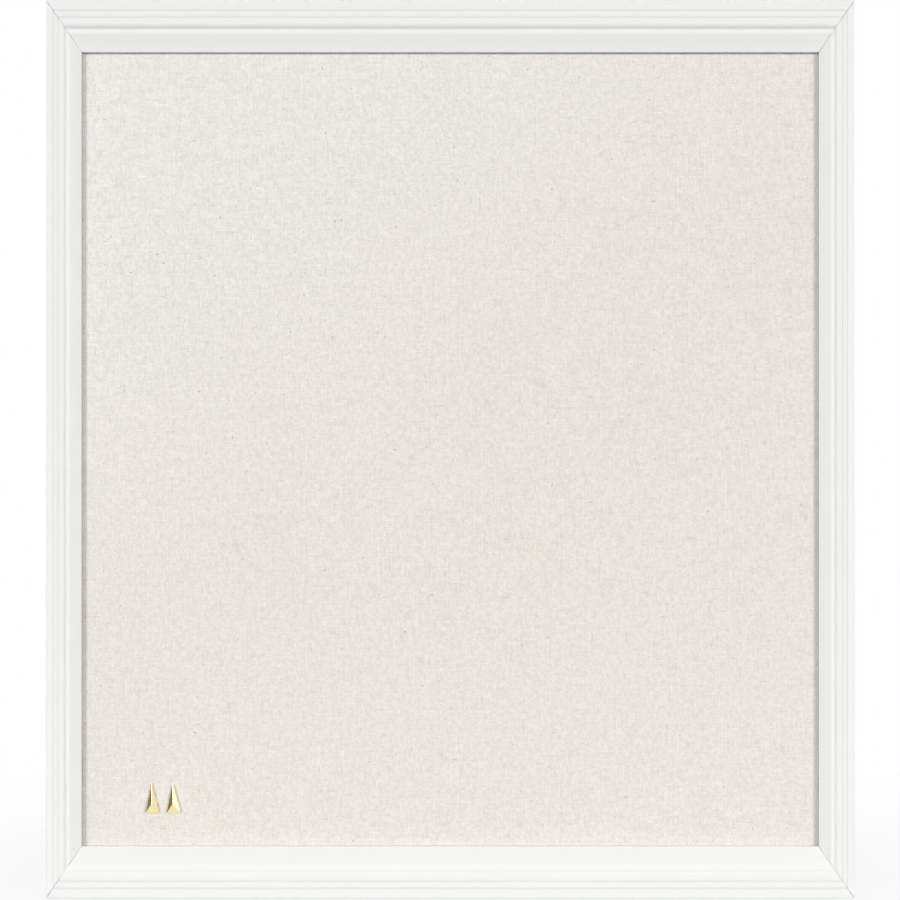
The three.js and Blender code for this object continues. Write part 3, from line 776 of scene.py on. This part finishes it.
def lathe(name, profile, sides):
    """A turned piece about the Y axis. The profile's ends lie on the axis."""
    work = bmesh.new()
    rings = []
    for radius, y in profile:
        if radius == 0:
            rings.append([work.verts.new((0, y, 0))])
            continue
        angles = [2 * math.pi * i / sides for i in range(sides)]
        rings.append([work.verts.new((radius * math.cos(a), y, radius * math.sin(a))) for a in angles])
    for lower, upper in zip(rings, rings[1:]):
        for i in range(sides):
            j = (i + 1) % sides
            corners = [lower[i % len(lower)], lower[j % len(lower)],
                       upper[j % len(upper)], upper[i % len(upper)]]
            work.faces.new(dict.fromkeys(corners))
    mesh = bpy.data.meshes.new(name)
    work.to_mesh(mesh)
    work.free()
    return mesh


def refined(node, bevel, sharp_from=SHARP, smooth_to=SMOOTH):
    """A copy of a CAD piece with its flat faces joined again and its edges past sharp_from rounded."""
    work = bmesh.new()
    work.from_mesh(nodes[node].data)
    bmesh.ops.remove_doubles(work, verts=work.verts, dist=MERGE_DISTANCE)
    bmesh.ops.dissolve_limit(work, angle_limit=math.radians(1), verts=work.verts, edges=work.edges)
    sharp = [e for e in work.edges if e.is_manifold and e.calc_face_angle() > math.radians(sharp_from)]
    bmesh.ops.bevel(
        work, geom=sharp, offset=bevel, segments=2, profile=0.5, affect="EDGES", clamp_overlap=True
    )
    mesh = bpy.data.meshes.new(node)
    work.to_mesh(mesh)
    work.free()
    return settle(mesh, None, smooth_to)


def cut(made, *cutters):
    """The object's mesh less the cutters, which are removed."""
    for cutter in cutters:
        modifier = made.modifiers.new("cut", "BOOLEAN")
        modifier.operation = "DIFFERENCE"
        modifier.solver = "EXACT"
        modifier.object = cutter
    mesh = applied(made)
    for cutter in cutters:
        bpy.data.objects.remove(cutter)
    return mesh


# The kind of moulding on each side, and the side's turn about Y
SIDES = {
    "top": ("rail", 0.0),
    "right": ("stile", math.pi / 2),
    "bottom": ("rail", math.pi),
    "left": ("stile", -math.pi / 2),
}
RAIL = dict(length=BOARD_WIDTH, reach=BOARD_HEIGHT / 2, face=RAIL_FACE, rabbet=RAIL_RABBET,
            neighbour=STILE_FACE, panel=PANEL_WIDTH)
STILE = dict(length=BOARD_HEIGHT, reach=BOARD_WIDTH / 2, face=STILE_FACE, rabbet=STILE_RABBET,
             neighbour=RAIL_FACE, panel=PANEL_HEIGHT)
KINDS = {"rail": RAIL, "stile": STILE}


def side_matrix(side):
    """From a moulding that lies along X, with its outer edge at z = 0, to its side of the frame."""
    kind, turn = SIDES[side]
    reach = KINDS[kind]["reach"]
    place = Matrix.Translation((reach * round(math.sin(turn)), 0, reach * round(math.cos(turn))))
    return TO_BODY @ place @ Matrix.Rotation(turn, 4, "Y")


def along_sides(inset, depth):
    """Places along each side of the panel, that far in from the moulding's outer edge: (x, y, z, turn)."""
    for side, (kind, turn) in SIDES.items():
        span = KINDS[kind]["panel"] - 2 * FASTENER_END_MARGIN
        for i in range(FASTENERS_ON_SIDE):
            along = span * (i / (FASTENERS_ON_SIDE - 1) - 0.5)
            place = side_matrix(side) @ Vector((along, -depth, -inset[kind]))
            yield (*place, turn)


def at_mitres():
    """Two places on each mitre: (x, y, z, turn)."""
    for sign_x in (-1, 1):
        for sign_z in (-1, 1):
            inward = Vector((-sign_x * STILE_FACE, 0, -sign_z * RAIL_FACE)).normalized()
            corner = Vector((sign_x * BOARD_WIDTH / 2, -V_NAIL_INSET, sign_z * BOARD_HEIGHT / 2))
            for distance in (OUTER_V_NAIL, INNER_V_NAIL):
                place = TO_BODY @ (corner + inward * distance)
                yield (*place, math.atan2(-inward.z, inward.x))


repeats = repeat_shaper()


def repeated(name, shape, places, material):
    """One mesh with the shape at each place."""
    places = list(places)
    base = bpy.data.meshes.new(name)
    base.from_pydata([place[:3] for place in places], [], [])
    turns = base.attributes.new("turn", "FLOAT", "POINT")
    for item, place in zip(turns.data, places):
        item.value = place[3]
    pattern = thing(shape.name, shape)
    mesh = repeats.shape(base, shape=pattern, material=material)
    bpy.data.objects.remove(pattern)
    return settle(mesh)


# Framer's points, staples and V-nails
def point_outline():
    """A blunt arrow, half of which is driven into the wall of the rabbet."""
    half, tail, tip = POINT_WIDTH / 2, POINT_DRIVEN - POINT_LENGTH, POINT_DRIVEN
    shoulder = tip - POINT_TIP
    return [(-half, tail), (half, tail), (half, shoulder), (0, tip), (-half, shoulder)]


def staple_outline():
    """A square staple, its crown up."""
    half, wire, tip = STAPLE_CROWN / 2, STAPLE_WIRE, -(STAPLE_LEG + STAPLE_WIRE)
    return [(-half, 0), (-half, tip), (wire - half, tip), (wire - half, -wire),
            (half - wire, -wire), (half - wire, tip), (half, tip), (half, 0)]


def v_nail_outline(grow=0.0):
    """A V that opens towards the outer corner, or its seat where it grows."""
    leg = (V_NAIL_LEG + grow) * math.sqrt(0.5)
    back = (V_NAIL_THICKNESS + 2 * grow) * math.sqrt(2)
    point = grow * math.sqrt(2)
    return [(point, 0), (point - leg, leg), (point - leg - back / 2, leg - back / 2), (point - back, 0),
            (point - leg - back / 2, back / 2 - leg), (point - leg, -leg)]


back_wall = {kind: sizes["face"] - sizes["rabbet"] for kind, sizes in KINDS.items()}
dart = prism("framers_point", point_outline(), -POINT_THICKNESS, 0, EDGES["point"])
point_mesh = repeated("framers_points", dart, along_sides(back_wall, POINT_BACK), steel)
side_places = [f"{side}_{i + 1}" for side in SIDES for i in range(FASTENERS_ON_SIDE)]
point_nodes = [f"framers_point_{place}" for place in side_places]
mount(thing("framers_points", point_mesh), "board", "steel", *point_nodes)

staple_inset = {kind: wall + PANEL_CLEARANCE + STAPLE_INSET for kind, wall in back_wall.items()}
staple = prism("linen_staple", staple_outline(), -STAPLE_WIRE / 2, STAPLE_WIRE / 2, EDGES["staple"])
staple.transform(Matrix.Rotation(-math.pi / 2, 4, "X"))
staple_mesh = repeated("linen_staples", staple, along_sides(staple_inset, STAPLE_BACK), steel)
staple_nodes = [f"linen_staple_{place}" for place in side_places]
mount(thing("linen_staples", staple_mesh), "board", "steel", *staple_nodes)

v_nail = prism("v_nail", v_nail_outline(), -V_NAIL_HEIGHT, 0, EDGES["v_nail"])
v_nail_nodes = [f"v_nail_{row}_{column}_{place}" for row in ("top", "bottom")
                for column in ("left", "right") for place in ("outer", "inner")]
v_nail_mesh = repeated("v_nails", v_nail, at_mitres(), steel)
mount(thing("v_nails", v_nail_mesh), "board", "steel", *v_nail_nodes)

# Mouldings
mouldings = moulding_shaper()
for seed, (side, (kind, _)) in enumerate(SIDES.items()):
    sizes = KINDS[kind]
    name = f"{side}_{kind}"
    section = [(across, depth, 0) for across, depth in moulding_section(sizes["face"], sizes["rabbet"])]
    # Painted shade on each side's lip, grooves and sight edge, as much as the tables give for its kind
    swept = mouldings.shape(
        line_mesh(name, section, True), length=sizes["length"], face=sizes["face"],
        neighbour_face=sizes["neighbour"], rabbet=sizes["rabbet"], rabbet_depth=LIP_BACK,
        open_joint=OPEN_JOINT, seed=float(seed), dull_lip=PAINTED_SHADE_LIPS[kind],
        dull_groove=PAINTED_SHADE_GROOVES[kind], dull_sight=PAINTED_SHADE_SIGHTS[kind], paint=paint, bare_wood=pine,
    )
    bar = thing(name, settle(swept, side_matrix(side), SMOOTH_MOULDING))
    seat = prism("v_nail_seat", v_nail_outline(V_NAIL_SEAT_GAP), -V_NAIL_SEAT_DEPTH, OVERRUN, 0)
    seats = repeated("v_nail_seats", seat, at_mitres(), pine)
    mesh = cut(bar, thing("v_nail_seats", seats))
    mesh.set_sharp_from_angle(angle=math.radians(SMOOTH_MOULDING))
    mount(thing(name, mesh), "board", "white_paint", name)


def rounded_loop(work, half_x, half_z, radius, y):
    """A rectangle with round corners, that far in front of the frame's back."""
    loop = []
    for turn, (sx, sz) in enumerate(((1, 1), (-1, 1), (-1, -1), (1, -1))):
        for i in range(CORNER_STEPS + 1):
            angle = math.pi / 2 * (turn + i / CORNER_STEPS)
            x = sx * (half_x - radius) + radius * math.cos(angle)
            z = sz * (half_z - radius) + radius * math.sin(angle)
            loop.append(work.verts.new((x, -y, z)))
    return loop


def bridge(work, first, second):
    """Faces between two loops."""
    for i in range(len(first)):
        j = (i + 1) % len(first)
        work.faces.new([first[i], first[j], second[j], second[i]])


def skin_loops(work, inset, back, front, radius):
    """Loops of one side of the wrapped cloth, from the edge of its margin to its front."""
    half_x = PANEL_WIDTH / 2 - inset
    half_z = PANEL_HEIGHT / 2 - inset
    margin_x = PANEL_WIDTH / 2 - LINEN_MARGIN
    margin_z = PANEL_HEIGHT / 2 - LINEN_MARGIN
    loops = [rounded_loop(work, margin_x, margin_z, MARGIN_CORNER, back)]
    quarter = [math.pi / 2 * i / CORNER_STEPS for i in range(CORNER_STEPS + 1)]

    def add(inwards, y):
        loops.append(rounded_loop(work, half_x - inwards, half_z - inwards, radius * 2 - inwards, y))

    for angle in quarter:
        add(radius * (1 - math.sin(angle)), back + radius * (1 - math.cos(angle)))
    for angle in quarter:
        add(radius * (1 - math.cos(angle)), front - radius * (1 - math.sin(angle)))
    return loops


def linen_mesh():
    """Linen turned over the edges of the softboard: one cloth, closed all round. Its two pin holes are cut
    later.
    """
    work = bmesh.new()
    outer = skin_loops(work, 0, LINEN_BACK, LINEN_FRONT, LINEN_ROUND)
    inner = skin_loops(
        work, LINEN_THICKNESS, LINEN_BACK + LINEN_THICKNESS, LINEN_FRONT - LINEN_THICKNESS,
        LINEN_ROUND - LINEN_THICKNESS,
    )
    for loops in (outer, inner):
        for first, second in zip(loops, loops[1:]):
            bridge(work, first, second)
        work.faces.new(loops[-1])
    bridge(work, outer[0], inner[0])
    mesh = bpy.data.meshes.new("linen")
    work.to_mesh(mesh)
    work.free()
    return settle(mesh, TO_BODY)


def pin_matrix(column):
    """From a pin whose needle lies along Y to its leaning place on the linen."""
    x = PIN_FROM_LEFT - BOARD_WIDTH / 2 + (PIN_SPACING if column == "right" else 0)
    place = Matrix.Translation((x, -LINEN_FRONT - SEAT_GAP, PIN_FROM_BOTTOM - BOARD_HEIGHT / 2))
    return TO_BODY @ place @ Matrix.Rotation(math.radians(-PIN_LEANS[column]), 4, "Y")


holes = []
hole_radius = PIN_HOLE_DIAMETER / 2
hole_profile = [(0, -PIN_HOLE_REACH), (hole_radius, -PIN_HOLE_REACH),
                (hole_radius, PIN_HOLE_REACH), (0, PIN_HOLE_REACH)]
for column in PIN_LEANS:
    hole = lathe("pin_hole", hole_profile, ROUND_SIDES)
    holes.append(thing("pin_hole", settle(hole, pin_matrix(column))))
linen_shell = cut(thing("linen", linen_mesh(), linen_cloth), *holes)
linen_shell.set_sharp_from_angle(angle=math.radians(SMOOTH))
cloth = mount(thing("linen", linen_shell, linen_cloth), "board", "linen", "linen_cover")
# Both edges and margins of a side, less what the cloth saves round the bends
turned_over = 2 * (LINEN_FRONT - LINEN_BACK + LINEN_MARGIN - 3 * LINEN_ROUND)
PANEL_WIDTH + turned_over
PANEL_HEIGHT + turned_over

# Boards behind the linen
half_x, half_z = PANEL_WIDTH / 2, PANEL_HEIGHT / 2
sheet_outline = [(-half_x, -half_z), (half_x, -half_z), (half_x, half_z), (-half_x, half_z)]
backing_front = BACKING_BACK + BACKING_THICKNESS
backing = prism("backing", sheet_outline, -backing_front, -BACKING_BACK, EDGES["hardboard"])
mount(thing("backing", settle(backing, TO_BODY), hardboard_brown), "board", "hardboard", "backing_board")
softboard_mesh = refined("pin_board", EDGES["softboard"])
mount(thing("softboard", softboard_mesh, softboard_fibre), "board", "softboard", "pin_board")

# Hangers
wire = wire_shaper()


def ring_line():
    """Centreline of a ring: a straight bar, two corners and a round end, open in the middle of the bar."""
    def arc(cx, cz, radius, start, end, steps):
        for i in range(1, steps + 1):
            angle = math.radians(start + (end - start) * i / steps)
            yield (cx + radius * math.cos(angle), cz + radius * math.sin(angle))

    corner = RING_HALF_WIDTH - RING_CORNER
    drop = RING_HALF_WIDTH - RING_REACH
    points = [(RING_SEAM / 2, 0), (corner, 0)]
    points.extend(arc(corner, -RING_CORNER, RING_CORNER, 90, 0, RING_CORNER_STEPS))
    points.append((RING_HALF_WIDTH, drop))
    points.extend(arc(0, drop, RING_HALF_WIDTH, 0, -180, RING_END_STEPS))
    points.append((-RING_HALF_WIDTH, -RING_CORNER))
    points.extend(arc(-corner, -RING_CORNER, RING_CORNER, 180, 90, RING_CORNER_STEPS))
    points.append((-RING_SEAM / 2, 0))
    return [(x, 0, z) for x, z in points]


for column, sign in (("left", -1), ("right", 1)):
    x = sign * (BOARD_WIDTH / 2 - STILE_BACK / 2)
    bent = line_mesh(f"{column}_ring", ring_line(), False)
    ring = wire.shape(bent, radius=RING_WIRE / 2, sides=ROUND_SIDES, material=steel)
    settle(ring, Matrix.Translation((x, *RING_AXIS)))
    mount(thing(f"{column}_ring", ring), f"{column}_ring", "steel", f"{column}_hanger_ring")
    for piece in ("strap", "screw"):
        node = f"{column}_hanger_{piece}"
        mount(thing(f"{column}_{piece}", refined(node, EDGES[piece]), steel), "board", "steel", node)

# Bumpers
bumper_radius = BUMPER_DIAMETER / 2
profile = [(0, 0), (bumper_radius - BUMPER_EDGE, 0), (bumper_radius, BUMPER_EDGE)]
for i in range(BUMPER_STEPS + 1):
    a = math.pi / 2 * i / BUMPER_STEPS
    in_from_side, down_from_top = BUMPER_ROUND * (1 - math.cos(a)), BUMPER_ROUND * (1 - math.sin(a))
    profile.append((bumper_radius - in_from_side, BUMPER_HEIGHT - down_from_top))
profile.append((0, BUMPER_HEIGHT))
bumper_x = BOARD_WIDTH / 2 - BUMPER_INSET
bumper_z = BOARD_HEIGHT / 2 - RAIL_BACK / 2
bumper_places = [
    (*(TO_BODY @ Vector((sx * bumper_x, SEAT_GAP, sz * bumper_z))), 0.0)
    for sx in (-1, 1) for sz in (-1, 1)
]
bumper_mesh = repeated("bumpers", lathe("bumper", profile, BUMPER_SIDES), bumper_places, rubber)
bumper_nodes = [f"bumper_{row}_{column}" for row in ("top", "bottom") for column in ("left", "right")]
mount(thing("bumpers", bumper_mesh), "board", "rubber", *bumper_nodes)

# Push pins
needle_radius = NEEDLE_DIAMETER / 2
needle_profile = [(0, -NEEDLE_SOCKET), (needle_radius, -NEEDLE_SOCKET)]
for wide, left in NEEDLE_TAPER_SHARES:
    needle_profile.append((needle_radius * wide, NEEDLE_LENGTH - NEEDLE_TIP * left))


def raise_facets(stud, times):
    """Grinds the facets a little steeper or flatter: no two studs are alike."""
    rim = TO_BODY.translation.y - LINEN_FRONT - SEAT_GAP - PIN_EDGE
    for vertex in stud.vertices:
        if vertex.co.y < rim:
            vertex.co.y = rim + (vertex.co.y - rim) * times


for column in PIN_LEANS:
    stud = refined(f"{column}_pin_stud", EDGES["stud"], SHARP_STUD, SMOOTH_STUD)
    raise_facets(stud, FACET_RISES[column])
    mount(thing(f"{column}_stud", stud, gold), f"{column}_pin", "gold", f"{column}_pin_stud")
    needle = settle(lathe(f"{column}_needle", needle_profile, ROUND_SIDES), pin_matrix(column))
    mount(thing(f"{column}_needle", needle, steel), f"{column}_pin", "steel", f"{column}_pin_needle")


# Floor, background and lamps
def ray_kinds(net):
    """1 on the rays of the camera, of gloss and of glass."""
    path = net.make("ShaderNodeLightPath").socket.node.outputs
    return [Flow(net, path[name]) for name in ("Is Camera Ray", "Is Glossy Ray", "Is Transmission Ray")]


def floor_finish():
    """A pale floor that is nearly white to the camera and takes the board's shadow close by."""
    net = Finish("pale_floor")
    place = net.object_place()
    x, y, _ = net.split(place)
    flat = {0: net.join(x, y, 0.0)}
    reach = net.make("ShaderNodeVectorMath", {"operation": "LENGTH"}, flat, output="Value")
    grey = net.shade((0.5, 0.5, 0.5), 0.98 + 0.04 * net.noise(place, 3 * MM, 3))
    matt = net.make("ShaderNodeBsdfDiffuse", None, {"Color": grey, "Roughness": 0.5})
    white = net.make("ShaderNodeEmission", None, {"Color": (1, 1, 1), "Strength": 1.0})
    camera_ray, glossy, clear = ray_kinds(net)
    share = net.make(
        "ShaderNodeMath", {"operation": "MINIMUM"},
        {0: camera_ray * net.ramp(reach, 0.1, 0.6, 0.9, 1.0) + glossy + clear, 1: 1.0},
    )
    mixed = net.make("ShaderNodeMixShader", None, {0: share, 1: matt, 2: white})
    net.make("ShaderNodeOutputMaterial", None, {"Surface": mixed})
    return net.material


floor_level = MIDDLE - BOARD_HEIGHT / 2 - FLOOR_GAP
floor_mesh = bpy.data.meshes.new("floor")
corner_signs = ((-1, -1), (1, -1), (1, 1), (-1, 1))
floor_corners = [(sx * FLOOR_REACH, sy * FLOOR_REACH, floor_level) for sx, sy in corner_signs]
floor_mesh.from_pydata(floor_corners, [], [(0, 1, 2, 3)])
thing("floor", floor_mesh, floor_finish())

world = bpy.data.worlds.new("studio")
bpy.context.scene.world = world
world.use_nodes = True
world.node_tree.nodes.clear()
sky = Net(world.node_tree)
camera_ray, glossy, clear = ray_kinds(sky)
toward_right, toward_back, _ = sky.split(sky.make("ShaderNodeTexCoord", None, None, output="Generated"))
backdrop = sky.ramp(0.75 * toward_right + 0.35 * toward_back, -0.75, 0.45, 0.16, 0.92)
shown = camera_ray + clear + glossy * backdrop
strength = LEVEL_OF_AMBIENT + (1 - LEVEL_OF_AMBIENT) * shown
light = sky.make("ShaderNodeBackground", None, {"Color": (1, 1, 1), "Strength": strength})
sky.make("ShaderNodeOutputWorld", None, {"Surface": light})


def lamp(name, azimuth, elevation, spread, strength):
    """A distant soft box: the direction it shines from, how wide it looks, in degrees, and its strength."""
    data = bpy.data.lights.new(name, "SUN")
    data.energy = strength
    data.angle = math.radians(spread)
    made = bpy.data.objects.new(name, data)
    a, e = math.radians(azimuth), math.radians(elevation)
    toward = Vector((math.sin(a) * math.cos(e), -math.cos(a) * math.cos(e), math.sin(e)))
    made.rotation_euler = toward.to_track_quat("Z", "Y").to_euler()
    bpy.context.scene.collection.objects.link(made)


for values in LAMPS:
    lamp(*values)

# Camera, square to the board
data = bpy.data.cameras.new("camera")
data.sensor_width = SENSOR_WIDTH
data.lens = data.sensor_width * CAMERA_DISTANCE / VIEW_WIDTH
camera = bpy.data.objects.new("camera", data)
camera.location = (CAMERA_SHIFT[0], OUTLINE_DEPTH - CAMERA_DISTANCE, MIDDLE + CAMERA_SHIFT[1])
camera.rotation_euler = (math.pi / 2, 0, 0)
bpy.context.scene.collection.objects.link(camera)
bpy.context.scene.camera = camera
bpy.context.scene.view_settings.view_transform = "Standard"
